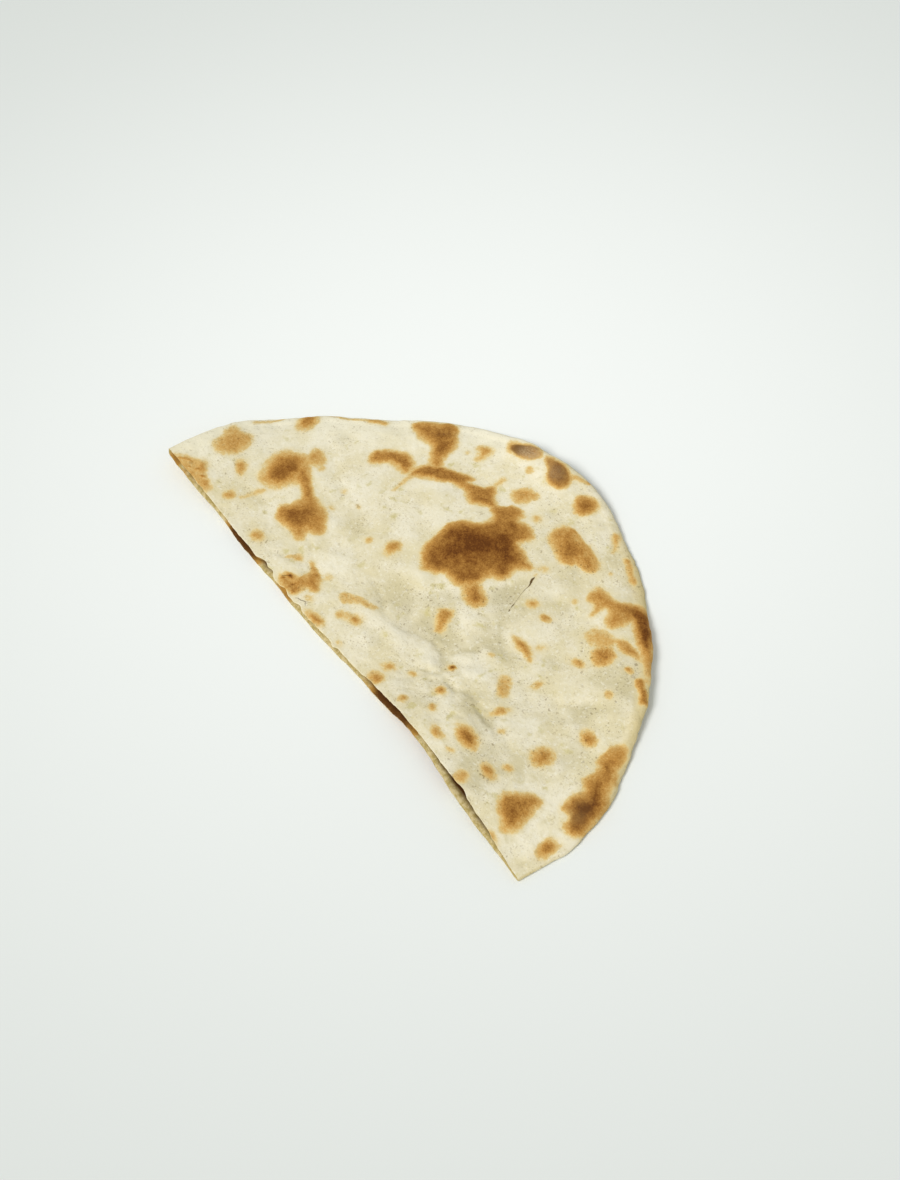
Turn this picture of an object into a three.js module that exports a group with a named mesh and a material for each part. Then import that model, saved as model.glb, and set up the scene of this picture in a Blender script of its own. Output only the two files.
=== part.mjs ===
// Half of a round tandoori roti, cut straight across the middle and lying with its browned side up.
// Millimetres, +Z up. The knife cut runs along X and faces -Y; the baked rim curves round on the +Y side.
// The origin is under the middle of the piece, on the surface that it lies on.

import * as THREE from 'three';

// Driving dimensions of the outline, measured from the middle of the cut
const RIM_STEP = Math.PI / 12;
// Middle of the cut to the rim, every fifteen degrees from the right corner round to the left one
const RIM_RADII = [119.5, 122.6, 120, 119.8, 120, 121.5, 124.2, 123, 121, 116, 117.8, 120.6, 117.6];
const CORNER_ANGLE = 0.03;
// The knife wandered a little from a straight line: place along X, reach, and depth into the bread
const CUT_BENDS = [
  { name: 'bow right of the middle', x: 52, reach: 85, depth: 4.2 },
  { name: 'drop at the left corner', x: -118, reach: 40, depth: -1.6 },
];

// Driving dimensions of the section
const THICKNESS = 2.9;
const RIM_THICKNESS = 2.0;
const RIM_TAPER = 11;
const RIM_ROUND = 1.7;
const SKIN_SHARE = 0.36;
const POCKET_DEPTH = 0.7;

// Where the bread stands clear of the surface under it: place, reach along X and Y, and height
const LIFTS = [
  { name: 'arch in the cut edge', x: 66, y: -6, reachX: 50, reachY: 58, height: 5.0 },
  { name: 'curled left corner', x: -126, y: -6, reachX: 64, reachY: 60, height: 6.5 },
  { name: 'wave in the upper rim', x: -22, y: 132, reachX: 60, reachY: 42, height: 4.6 },
  { name: 'wave in the right rim', x: 92, y: 92, reachX: 46, reachY: 46, height: 3.4 },
];

// Bubbles and dents of the top skin: place, reach along X and Y, and height
const PUFFS = [
  { name: 'bubble under the great scorch', x: -2, y: 72, reachX: 30, reachY: 34, height: 1.5 },
  { name: 'bubble under the left scorch', x: -84, y: 33, reachX: 18, reachY: 21, height: 1.1 },
  { name: 'bubble under the lower left scorch', x: -58, y: 26, reachX: 19, reachY: 17, height: 1.0 },
  { name: 'bubble under the top scorch', x: -61, y: 91, reachX: 18, reachY: 15, height: 1.0 },
  { name: 'bubble under the oval scorch', x: 17, y: 100, reachX: 21, reachY: 15, height: 1.1 },
  { name: 'bubble under the right rim scorch', x: 54, y: 95, reachX: 21, reachY: 14, height: 1.0 },
  { name: 'bubble inside the right rim', x: 61, y: 80, reachX: 15, reachY: 11, height: 0.6 },
  { name: 'bubble at the left end', x: -107, y: 23, reachX: 16, reachY: 18, height: 0.8 },
  { name: 'first rim blister', x: -33, y: 115, reachX: 12, reachY: 10, height: 2.2 },
  { name: 'second rim blister', x: -16, y: 118, reachX: 12, reachY: 11, height: 2.4 },
  { name: 'bubble at the lower end', x: 98, y: 15, reachX: 18, reachY: 16, height: 1.2 },
  { name: 'bubble at the lower rim', x: 110, y: 36, reachX: 16, reachY: 21, height: 1.3 },
  { name: 'bubble near the cut', x: 66, y: 18, reachX: 17, reachY: 13, height: 0.8 },
  { name: 'ridge along the cut', x: 0, y: 18, reachX: 32, reachY: 13, height: 0.5 },
  { name: 'valley behind the ridge', x: 8, y: 31, reachX: 34, reachY: 12, height: -0.9 },
  { name: 'dent below the slit', x: 34, y: 38, reachX: 18, reachY: 13, height: -0.5 },
];

// Where the two skins part at the cut: place along X, reach, added depth and added thickness
const POCKETS = [
  { name: 'pocket left of the middle', x: -58, reach: 22, depth: 3.5, swelling: 0.9 },
  { name: 'pocket right of the middle', x: 38, reach: 24, depth: 4.5, swelling: 1.2 },
  { name: 'pocket near the right corner', x: 88, reach: 28, depth: 3.0, swelling: 1.1 },
];
const POCKET_REACH_Y = 16;
const LOWER_LIP = { depth: 2.4, x: 80, reach: 36 };

// Spacing of the faces
const COLUMNS = 76;
const ROWS = 22;
const ROW_CROWDING = 1.6;

const CRUST_COLOUR = 0xd8cda6;

// A smooth rise from nothing at one reach away to one in the middle
function swell(offset) {
  const fall = 1 - offset * offset;
  return fall > 0 ? fall * fall : 0;
}

function swellAt(spot, x, y) {
  return swell(Math.hypot((x - spot.x) / spot.reachX, (y - spot.y) / spot.reachY));
}

// The rim's distance from the middle of the cut, by a smooth curve through RIM_RADII
function rimRadius(angle) {
  const last = RIM_RADII.length - 1;
  const place = THREE.MathUtils.clamp(angle / RIM_STEP, 0, last);
  const step = Math.min(Math.floor(place), last - 1);
  const t = place - step;
  const before = RIM_RADII[Math.max(step - 1, 0)];
  const from = RIM_RADII[step];
  const to = RIM_RADII[step + 1];
  const after = RIM_RADII[Math.min(step + 2, last)];
  const slopeFrom = (to - before) / 2;
  const slopeTo = (after - from) / 2;
  const cubic = 2 * from - 2 * to + slopeFrom + slopeTo;
  const square = 3 * to - 3 * from - 2 * slopeFrom - slopeTo;
  return ((cubic * t + square) * t + slopeFrom) * t + from;
}

// Clear width of bread between a point and the rim
function rimGap(x, y) {
  return Math.max(rimRadius(Math.atan2(Math.max(y, 0), x)) - Math.hypot(x, y), 0);
}

function cutLine(x) {
  return CUT_BENDS.reduce((sum, bend) => sum + bend.depth * swell((x - bend.x) / bend.reach), 0);
}

function lowerLip(x) {
  return LOWER_LIP.depth * swell((x - LOWER_LIP.x) / LOWER_LIP.reach);
}

function pocketDepth(x) {
  const parted = POCKETS.map((pocket) => pocket.depth * swell((x - pocket.x) / pocket.reach));
  return parted.reduce((sum, depth) => sum + depth, POCKET_DEPTH);
}

function pocketSwelling(x, y) {
  const near = swell((y - cutLine(x)) / POCKET_REACH_Y);
  const swollen = POCKETS.map((pocket) => pocket.swelling * swell((x - pocket.x) / pocket.reach));
  return near * swollen.reduce((sum, height) => sum + height, 0);
}

// Heights of the two faces over one point of the plan
function faces(x, y) {
  const gap = rimGap(x, y);
  const rounding = gap < RIM_ROUND ? Math.sqrt(1 - (1 - gap / RIM_ROUND) ** 2) : 1;
  const taper = THREE.MathUtils.smoothstep(gap, 0, RIM_TAPER);
  const thickness = THREE.MathUtils.lerp(RIM_THICKNESS, THICKNESS, taper);
  const lift = LIFTS.reduce((sum, spot) => sum + spot.height * swellAt(spot, x, y), 0);
  const puff = PUFFS.reduce((sum, spot) => sum + spot.height * swellAt(spot, x, y), 0);
  const half = thickness / 2;
  const raised = (puff + pocketSwelling(x, y)) * rounding;
  return { low: lift + half * (1 - rounding), high: lift + half * (1 + rounding) + raised };
}

// Plan of the bread: columns run from the cut to the rim, rows from corner to corner
function planPoint(column, row) {
  const along = THREE.MathUtils.lerp(CORNER_ANGLE, Math.PI - CORNER_ANGLE, column / COLUMNS);
  const across = 1 - (1 - row / ROWS) ** ROW_CROWDING;
  const radius = rimRadius(Math.PI - along);
  const cutX = THREE.MathUtils.lerp(-rimRadius(Math.PI), rimRadius(0), (1 - Math.cos(along)) / 2);
  const x = THREE.MathUtils.lerp(cutX, -radius * Math.cos(along), across);
  const y = THREE.MathUtils.lerp(cutLine(cutX), radius * Math.sin(along), across);
  return { x, y };
}

// The section of the cut face at one column, from the upper skin's edge to the lower one's
function cutSection(column) {
  const { x, y } = planPoint(column, 0);
  const { low, high } = faces(x, y);
  const skin = (high - low) * SKIN_SHARE;
  const middle = (low + high) / 2;
  const inside = Math.min(pocketDepth(x), rimGap(x, y) / 2);
  return [
    [x, y, high - skin],
    [x, y + inside, middle],
    [x, y - lowerLip(x), low + skin],
  ];
}

function breadGeometry() {
  const positions = [];
  const indices = [];
  const known = new Map();

  function vertex(key, x, y, z) {
    if (!known.has(key)) {
      known.set(key, positions.length / 3);
      positions.push(x, y, z);
    }
    return known.get(key);
  }

  // The two faces share the vertices of the rim and of the blunt corners
  function faceVertex(side, column, row) {
    const { x, y } = planPoint(column, row);
    const { low, high } = faces(x, y);
    if (row === ROWS || column === 0 || column === COLUMNS) {
      return vertex(`rim ${column} ${row}`, x, y, (low + high) / 2);
    }
    if (side === 'top') return vertex(`top ${column} ${row}`, x, y, high);
    const lip = row === 0 ? lowerLip(x) : 0;
    return vertex(`bottom ${column} ${row}`, x, y - lip, low);
  }

  const profileSteps = 4;
  function cutVertex(column, step) {
    if (step === 0 || column === 0 || column === COLUMNS) return faceVertex('top', column, 0);
    if (step === profileSteps) return faceVertex('bottom', column, 0);
    return vertex(`cut ${column} ${step}`, ...cutSection(column)[step - 1]);
  }

  function triangle(a, b, c) {
    if (a !== b && b !== c && c !== a) indices.push(a, b, c);
  }

  function quad(a, b, c, d) {
    triangle(a, b, c);
    triangle(a, c, d);
  }

  function faceQuad(side, column, row) {
    const corners = [[0, 0], [1, 0], [1, 1], [0, 1]];
    const ring = corners.map(([across, up]) => faceVertex(side, column + across, row + up));
    quad(...(side === 'top' ? ring : ring.reverse()));
  }

  for (let column = 0; column < COLUMNS; column += 1) {
    for (let row = 0; row < ROWS; row += 1) {
      faceQuad('top', column, row);
      faceQuad('bottom', column, row);
    }
    for (let step = 0; step < profileSteps; step += 1) {
      quad(
        cutVertex(column, step + 1),
        cutVertex(column + 1, step + 1),
        cutVertex(column + 1, step),
        cutVertex(column, step),
      );
    }
  }

  const geometry = new THREE.BufferGeometry();
  geometry.setAttribute('position', new THREE.Float32BufferAttribute(positions, 3));
  geometry.setIndex(indices);
  geometry.computeBoundingBox();
  const middle = geometry.boundingBox.getCenter(new THREE.Vector3());
  geometry.translate(-middle.x, -middle.y, -geometry.boundingBox.min.z);
  geometry.computeVertexNormals();
  return geometry;
}

const crust = new THREE.MeshStandardMaterial({ color: CRUST_COLOUR, roughness: 0.85, metalness: 0 });
const bread = new THREE.Mesh(breadGeometry(), crust);
bread.name = 'roti_half';

const part = new THREE.Group();
part.add(bread);

export default part;
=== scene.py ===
import math

import bpy
import numpy as np
from mathutils import Matrix, Vector


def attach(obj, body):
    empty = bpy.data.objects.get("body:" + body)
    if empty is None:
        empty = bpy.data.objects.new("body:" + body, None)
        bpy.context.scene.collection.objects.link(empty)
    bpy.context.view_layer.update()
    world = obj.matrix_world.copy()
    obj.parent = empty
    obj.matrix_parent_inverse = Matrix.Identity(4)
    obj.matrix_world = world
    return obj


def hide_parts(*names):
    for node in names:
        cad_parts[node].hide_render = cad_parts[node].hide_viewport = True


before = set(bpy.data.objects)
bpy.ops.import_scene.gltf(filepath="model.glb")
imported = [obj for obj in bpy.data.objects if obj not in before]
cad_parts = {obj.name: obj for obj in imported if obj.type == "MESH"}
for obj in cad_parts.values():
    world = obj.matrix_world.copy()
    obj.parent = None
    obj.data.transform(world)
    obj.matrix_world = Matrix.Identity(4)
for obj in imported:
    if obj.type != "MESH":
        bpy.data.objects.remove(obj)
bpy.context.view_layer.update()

# Half of a round tandoori roti, cut straight across the middle and lying with its browned side up.
# Sizes are millimetres in the bread's own plan: X runs along the knife cut from its middle, Y from the cut
# towards the baked rim, and Z up from the surface that the bread lies on.
# A swelling is given as x, y, reach along X and Y, and height or amount; one along the cut as x, reach and
# amount; an oval as x, y, reach along and across, amount and, where it is turned, degrees.

MM = 0.001
NODE = "roti_half"

# Main form, with the same driving dimensions as the solid
RIM_STEP = math.pi / 12
RIM_RADII = (119.5, 122.6, 120, 119.8, 120, 121.5, 124.2, 123, 121, 116, 117.8, 120.6, 117.6)
CORNER_ANGLE = 0.03
THICKNESS = 2.9
RIM_THICKNESS = 2
RIM_TAPER = 11
RIM_ROUND = 1.7
SKIN_SHARE = 0.36
POCKET_DEPTH = 0.7
POCKET_REACH_Y = 16
SOLID_COLUMNS = 76
SOLID_ROWS = 22
SOLID_ROW_CROWDING = 1.6
# Angles from a corner between which the rim grows uneven
CALM_CORNER = (0.02, 0.16)

# Bends of the cut into the bread
CUT_BENDS = ((52, 85, 4.2), (-118, 40, -1.6))
# Where the two skins part at the cut: depth between them, and how the upper one puffs up
POCKET_DEPTHS = ((-58, 22, 3.5), (38, 24, 4.5), (88, 28, 3))
POCKET_PUFFS = ((-58, 22, 0.9), (38, 24, 1.2), (88, 28, 1.1))
# How far the lower skin reaches past the upper one
LOWER_LIP = ((80, 36, 2.4),)
# How far the slanting knife left the lower skin standing out
CUT_SLANTS = ((-100, 36, 1.1), (-58, 24, 1), (0, 44, 0.7), (38, 24, 1.3))
# Where the bread stands clear of the floor
LIFTS = (
    (66, -6, 50, 58, 5), (-126, -6, 64, 60, 6.5), (-22, 132, 60, 42, 4.6), (92, 92, 46, 46, 3.4),
)
# Bubbles and dents of the top skin
PUFFS = (
    (-2, 72, 30, 34, 1.5), (-84, 33, 18, 21, 1.1), (-58, 26, 19, 17, 1), (-61, 91, 18, 15, 1),
    (17, 100, 21, 15, 1.1), (54, 95, 21, 14, 1), (61, 80, 15, 11, 0.6), (-107, 23, 16, 18, 0.8),
    (-33, 115, 12, 10, 2.2), (-16, 118, 12, 11, 2.4), (98, 15, 18, 16, 1.2), (110, 36, 16, 21, 1.3),
    (66, 18, 17, 13, 0.8), (0, 18, 32, 13, 0.5), (8, 31, 34, 12, -0.9), (34, 38, 18, 13, -0.5),
)

# Spacing of the finished skin
COLUMNS = 430
TOP_ROWS = 158
BOTTOM_ROWS = 56
EDGE_CROWDING = 0.4
CUT_STEPS = (3, 4, 4, 3)
LATTICE = 512
OUTLINE_STEPS = 4

# Low lip just inside the rim
LIP_HEIGHT = 0.3
LIP_WIDTH = 2.6
# How far in from the cut the two skins follow their own edges
UPPER_FOLLOWS = 6
LOWER_FOLLOWS = 8
SKIN_SET_BACK = 0.12
# Thickness at which the crumb grows rough, and depths between which painted shade darkens the pocket
CRUMB_THICKNESS = (0.4, 2.2)
CRUMB_ROW = 0.45
POCKET_SHADE = (0.9, 2.8)

# Noise by what it makes uneven: middle value, amount, longest wavelength, octaves, seed
NOISE = {
    "rim": (0, 0.55, 15, 2, 11), "fine rim": (0, 0.28, 3.6, 2, 17), "upper edge": (0, 0.2, 6, 3, 23),
    "lower edge": (0, 0.2, 5, 3, 103), "crumb": (0, 0.22, 1.9, 2, 107), "marks in X": (0, 0.65, 5, 4, 31),
    "marks in Y": (0, 0.65, 5, 4, 41), "softness": (1.15, 0.65, 13, 2, 47), "mottling": (1, 0.14, 4, 3, 51),
    "char": (0.92, 0.3, 3, 3, 61), "slit in X": (0, 0.3, 2.6, 2, 151), "slit in Y": (0, 0.3, 2.6, 2, 153),
    "creases in X": (0, 1.1, 6, 3, 63), "creases in Y": (0, 1.1, 6, 3, 67),
    "crease depth": (0.75, 0.6, 9, 2, 143), "waves": (0, 0.3, 27, 2, 81), "wrinkles": (0, 1, 3.1, 2, 89),
    "ash": (0, 0.16, 2.4, 2, 93), "golden width": (5, 2.5, 14, 2, 141), "floury width": (15, 8, 22, 2, 145),
    "golden patches": (0.6, 0.6, 16, 3, 147), "underside": (0, 0.16, 9, 3, 97),
    "underside marks": (0, 1.6, 8, 3, 73), "underside tone": (0.1, 0.08, 26, 3, 75),
    "underside blotches": (0, 1, 22, 4, 77),
}

# Values kept on the points of the mesh, and their usual amounts
POINT_VALUES = {
    "toast": 0, "char": 0, "ash": 0, "tint": 0, "golden": 0, "floury": 0, "crumb": 0, "pocket": 0,
    "burnt": 0, "slit_side": 1, "slit_gap": -1,
}

# Lower bumps and, below zero, dents of the top skin
BUMPS = (
    (43, 36, 13, 9, 0.6), (49.5, 21.5, 8, 6, 0.6), (13, 23, 13, 5.5, 0.5), (-4, 21, 13, 6, 0.4),
    (27, 26.5, 9, 6, 0.45), (40, 66, 11, 9, 0.45), (-68, 42, 9, 5, 0.4), (75, 36, 12, 11, 0.45),
    (61, 6, 13, 6, 0.4), (-38, 8, 10, 6, 0.35), (15, 113, 9, 6, 0.35), (33, 85, 9, 7, 0.35),
    (22, 49, 12, 5, 0.4), (-4, 46, 13, 5, 0.4), (-30, 22, 15, 8, 0.35), (68, 60, 12, 10, 0.4),
    (-34, 74, 13, 9, 0.4), (-58, 53, 12, 8, 0.3), (53, 9, 7, 5, 0.3), (84, 46, 8, 9, 0.3),
    (4, 35, 30, 9, -0.6), (24, 37, 12, 7, -0.35), (39, 50.5, 15, 6, -0.5), (20.5, 68, 6, 14, -0.45),
    (8, 16, 8, 5, -0.35), (-61, 45, 8, 5, -0.3), (63, 28, 8, 6, -0.4), (27, 95, 8, 4, -0.3),
    (-84, 62, 9, 7, -0.35), (-73, 107, 9, 6, -0.3), (-44, 41, 14, 9, -0.35), (56, 62, 8, 9, -0.3),
    (80, 58, 8, 8, -0.3), (-22, 60, 5, 9, -0.25), (-80, 83, 9, 7, -0.3), (36, 14, 9, 5, -0.3),
)
# Rounded bumps all over it: wavelength, seed, height, added height where the skin is crumpled
PILLOWS = ((12, 121, 0.42, 0.2), (5.2, 131, 0.24, 0.42))
PILLOW_MIDDLE = 0.3
PILLOW_BEND = 0.35
PILLOW_ROUNDING = 0.015
PILLOW_LOWEST = 0.12
WRINKLE_HEIGHTS = (0.07, 0.08)
BLISTER_HEIGHT = 0.45
BLISTER_TOAST = (0.1, 0.75)
# Duller skin and painted shade in the dents, painted light on the bumps: depth for the full amount and its
# share, then the share of the pale margin round the scorches
SHADING_DEPTH = 0.55
SUNK_SHADING = 0.7
PALE_TINT = 0.4
# Broad areas of painted shade, which dulls the skin, and, below zero, of painted light, which pales it
BROAD_SHADE_AND_LIGHT = (
    (20, 54, 30, 22, 0.7), (14, 100, 34, 24, 0.5), (32, 112, 26, 20, 0.32), (78, 80, 26, 22, 0.7),
    (78, 9, 22, 15, 0.55), (90, 50, 24, 20, 0.55), (-30, 8, 14, 8, 0.6), (28, 82, 28, 26, 0.3),
    (80, 24, 24, 18, 0.35), (-11, 30, 14, 9, -0.35), (-41, 49, 16, 12, -0.3), (39, 13, 11, 8, -0.35),
    (-44, 77, 15, 10, -0.25),
)
# Floury areas at the left end
FLOURY = ((-116, 13, 24, 26, 0.8), (-102, 38, 26, 26, 0.4))
# Stretches of the rim, golden with painted shade on the right and floury with painted light on the upper
# left: degrees at which each starts, is full, fades and ends
GOLDEN_SHADED_RIM = (8, 20, 70, 84)
FLOURY_LIT_RIM = (92, 116, 168, 178)
LEAST_GOLDEN_WIDTH = 1.5
LEAST_FLOURY_WIDTH = 4

# Creases of the top skin: half width, depth, points along each
CREASES = {
    "edge of the valley": (2.6, 0.34, (
        (-15, 30), (-8, 27.6), (0, 26), (6, 26.3), (12, 28.3), (18, 30.2), (24, 33))),
    "long crease near the cut": (2, 0.4, (
        (31, 22.5), (36, 25), (41, 26), (46, 26), (51, 28.6), (57, 28), (64, 26))),
    "short crease near the cut": (1.6, 0.3, ((51, 14.5), (54.5, 18), (58.3, 20.5))),
    "crease below the slit": (1.8, 0.35, ((32, 35), (33, 39), (35, 43))),
    "wrinkle beside the long spot": (1.7, 0.3, ((31, 56), (36, 53.5), (42, 52), (49, 53))),
}
CREASE_RANGE = (0.15, 1.3)
# Where the skin is most crumpled
CRUMPLED = ((45, 28, 42, 20, 1), (10, 34, 42, 18, 0.6), (-30, 8, 24, 14, 0.7), (38, 52, 20, 10, 0.6))

# Torn places in the upper skin's edge at the cut
TORN_EDGE = (
    (-46.5, 5, 1.7), (-41.5, 3, 1.5), (-31, 3.5, 1), (-21, 3, 1.1), (2.5, 2.2, -0.9), (24, 5, 0.7),
    (83, 4, 0.8),
)
# Where the cut face is scorched; near x 39 its dark brown is also painted shade
BURNT_AND_SHADED_CUT = ((-62, 18, 1.35), (39, 22, 1.2), (-31, 9, 0.45), (-112, 6, 0.6), (-102, 12, 0.22))

# Scorch marks with a shape of their own: strength, share of it just inside the edge, softness of the edge,
# width over which they darken inwards, outline
SCORCHES = {
    "great scorch": (0.72, 0.62, 1.3, 5, (
        (-17.2, 89.1), (-14.3, 91.3), (-13, 94.5), (-8.4, 95.7), (-6, 94.5), (-5, 91.8), (-2.4, 93.3),
        (2, 92.8), (5.1, 90.5), (4.7, 87.5), (4, 85), (8.3, 83.5), (13, 82.6), (16.8, 82.4), (16, 79.8),
        (13.9, 76), (14.4, 72.8), (14.2, 69.4), (11.1, 68.3), (9.8, 65.3), (10.3, 62), (9.5, 58),
        (5.4, 54.3), (1.3, 53.5), (-2.3, 52.5), (-5, 49.8), (-7.6, 48), (-11.2, 49.2), (-14.5, 52),
        (-17.2, 55.5), (-17.6, 59), (-19.7, 63.3), (-21.2, 68.9), (-18.3, 74.3), (-14.3, 78),
        (-12.9, 82.4), (-14, 85.4), (-17.7, 86))),
    "tail of the great scorch": (0.56, 0.6, 1.6, 4.5, (
        (4, 62), (9, 62.5), (12, 61.8), (15.5, 60.6), (18.6, 60), (20.7, 57), (19.4, 53.8), (15.8, 52.4),
        (11.8, 53.6), (7.8, 55.6), (3, 56))),
    "streak beside it": (0.6, 0.7, 1.1, 2.4, (
        (-42, 86.8), (-38.2, 88.5), (-34.4, 90), (-32.8, 89.6), (-33.4, 87.4), (-31, 88.4), (-28.2, 91.2),
        (-25.8, 94.2), (-23, 93.5), (-20.6, 90.6), (-17.2, 89.6), (-13, 90.5), (-13, 86), (-17.7, 85.9),
        (-19.6, 85.1), (-21.8, 83), (-25, 81.2), (-29, 82.8), (-31.6, 84.2), (-34, 83.2), (-35.8, 82.8),
        (-38.2, 81.4), (-40.6, 79.2), (-42.8, 77.6), (-44.8, 75.8), (-46.8, 74.2), (-49, 72.8),
        (-50.6, 70.6), (-51.6, 70.8), (-52.6, 73.4), (-52.9, 76.4), (-51.4, 79.4), (-48.8, 81.8),
        (-45.6, 84.4))),
    "top scorch": (0.68, 0.6, 1.4, 5, (
        (-74, 88.5), (-71.5, 92), (-68, 96), (-65.5, 100), (-62, 101.5), (-58.5, 99.5), (-55, 97),
        (-52, 93.5), (-49.8, 89), (-48.4, 85.4), (-46.6, 82.8), (-47.4, 80), (-50.6, 80.2), (-53.6, 82.4),
        (-55.5, 84), (-58, 86.5), (-61, 86.5), (-65, 85.5), (-69.5, 86), (-72.5, 86.5))),
    "lens": (0.62, 0.6, 1.4, 3, (
        (-68.5, 62.5), (-66, 61.5), (-63.5, 64.5), (-61.5, 67.5), (-58.5, 69.5), (-54.5, 69.5),
        (-52.5, 71.5), (-54.4, 75), (-57.8, 77.2), (-61.4, 76.8), (-65, 74.4), (-68, 70.2), (-69.8, 66.4))),
    "left scorch": (0.74, 0.33, 2.3, 9, (
        (-92.5, 36), (-90.5, 40), (-87, 42.5), (-83, 43.5), (-78, 42), (-75, 39.5), (-74, 35.5),
        (-73.4, 32.4), (-74.8, 29.4), (-76.2, 25.6), (-79, 22.6), (-82.5, 21), (-86.5, 22), (-90, 25),
        (-92, 29.5), (-93, 33))),
    "neck of the left scorch": (0.62, 0.6, 1.4, 3.5, (
        (-81, 40.5), (-75, 40), (-71, 38), (-66, 35.5), (-61, 33), (-62, 28), (-66, 29), (-69, 31),
        (-73, 33), (-78, 34))),
    "lower left scorch": (0.67, 0.6, 1.6, 6, (
        (-67.3, 19), (-68.6, 21.8), (-66, 25.2), (-66.5, 28.5), (-66.5, 33), (-64, 34.8), (-60.5, 34),
        (-55, 33.9), (-49.8, 31.1), (-46.2, 27.7), (-47, 24.9), (-49.4, 23), (-48.5, 19.6), (-50.2, 17.1),
        (-54.6, 17.2), (-58.8, 16.5), (-63.1, 16.8))),
    "lobe of the left scorch": (0.36, 0.6, 1.8, 3, (
        (-83.5, 42), (-86, 47), (-84.5, 49.5), (-81, 50), (-77.5, 48.5), (-76, 45.5), (-78, 42))),
    "oval": (0.58, 0.62, 1.5, 6.5, (
        (6.5, 101), (8.5, 104.5), (12.5, 106), (17, 105), (21, 105.8), (25, 105), (29, 103.5), (31.5, 101),
        (31, 98), (28, 97), (25, 96.5), (23.5, 94), (20.5, 92), (17.5, 92.3), (13.5, 94), (9.5, 95.5),
        (7, 98))),
    "right rim scorch": (0.5, 0.66, 1.3, 4, (
        (38, 93), (39.5, 97), (44, 97.5), (49, 99), (52.5, 102), (56, 105), (61, 104.8), (67, 100.6),
        (73, 96), (78.5, 91.2), (83, 86.6), (82, 84.2), (78, 86.2), (74, 88.3), (70, 90), (66, 91.8),
        (61, 94), (58.7, 95.6), (58.7, 92), (57.8, 88.6), (55.5, 87.4), (52.5, 88), (50.5, 91),
        (48.5, 92.5), (47.5, 89), (47.8, 86), (46.3, 86), (45, 89), (43, 90.5), (40, 90))),
    "streak inside the right rim": (0.54, 0.6, 1.2, 2.5, (
        (62, 85), (64.5, 88), (69, 89), (74, 88), (76, 86.8), (72, 85.2), (67, 84.5))),
    "corner strip": (0.3, 0.85, 1.5, 3, (
        (-113, -0.8), (-111, 1.2), (-107.5, 3.8), (-104.6, 6.4), (-101.5, 6.2), (-98.6, 4.8), (-96, 3.9),
        (-93, 3.8), (-90, 2.6), (-88.8, 0.2), (-90, -1.5), (-95, -3.5), (-105, -5), (-112, -5))),
    "edge patch": (0.54, 0.66, 0.9, 3.5, (
        (-38.6, 3), (-36.4, 5.6), (-33.5, 7.6), (-32.8, 12), (-35, 14.5), (-38, 16), (-33, 15.6),
        (-29, 15.2), (-26, 13), (-22.5, 10.8), (-23.5, 8.8), (-26.5, 8), (-26.4, 5), (-26.8, 2.4),
        (-29, 1), (-33, 0.8), (-36, 1.4))),
    "first rim blister": (0.62, 0.66, 1.4, 4, (
        (-40, 112.4), (-37, 115), (-33.6, 117.5), (-29, 118.8), (-26, 118.2), (-25.4, 115.8),
        (-27.4, 112.4), (-30.6, 110.4), (-35.8, 109.8), (-38.8, 110.8))),
    "second rim blister": (0.68, 0.72, 1.2, 4, (
        (-24.4, 118.2), (-21.4, 119.8), (-18.2, 121.2), (-15.2, 121.3), (-12.6, 120.6), (-9, 119.2),
        (-7, 116.6), (-7.8, 113.4), (-11, 111.8), (-14.8, 112.6), (-18, 114.2), (-21.4, 116.2))),
    "lower end": (0.62, 0.6, 1.5, 5, (
        (90, 14), (93, 19), (97, 23.5), (100.5, 24.5), (102, 20), (103.5, 15), (104.5, 10), (102, 6.5),
        (98.5, 8), (94, 9.5))),
    "lower rim": (0.74, 0.5, 1.8, 6, (
        (97, 58), (100.5, 61), (104, 58), (106, 53.5), (109.5, 50), (111.5, 45), (115, 41.5), (116.5, 35),
        (119, 29), (117, 25), (112.5, 24.5), (110, 28), (106.5, 28.5), (104, 33), (105, 38), (102, 41.5),
        (101.5, 46.5), (98.5, 49), (97.5, 54))),
    "long spot": (0.54, 0.6, 1.2, 2, (
        (38.3, 57.8), (42, 59.3), (46, 58.8), (50.3, 56.5), (50, 55.3), (45, 55.3), (40.5, 56.3))),
    "tan triangle": (0.47, 0.6, 1.6, 2.5, (
        (-47, 102), (-41, 105.3), (-39.8, 101.5), (-41, 96.8), (-43.8, 99))),
}

# A mark rides on its bubble: shift along X and Y for each millimetre that the skin stands up there
BUBBLE_SHIFT = (0.67, -0.41)
SKIN_RELIEF = 0.25
# Edge of a spot or stroke: softness, and the most of its half width that this takes
SPOT_SOFTNESS = 1.4
SOFT_SHARE = 0.7
SOFTNESS_RANGE = (0.5, 1.9)
# Share of its strength just inside the edge, and width over which it darkens inwards
SPOT_MARGIN = 0.6
STROKE_WIDTH = 2
SPOT_WIDTH_SHARE = 0.9
LEAST_SPOT_WIDTH = 1.2
# Inside a mark, its faint halo, and the pale margin round a scorch, by depth from the mark's edge
INNER_START = 0.3
HALO_WIDTH = 3.4
HALO_STRENGTH = 0.088
PALE_MARGIN = (-8.5, -1.5)

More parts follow.
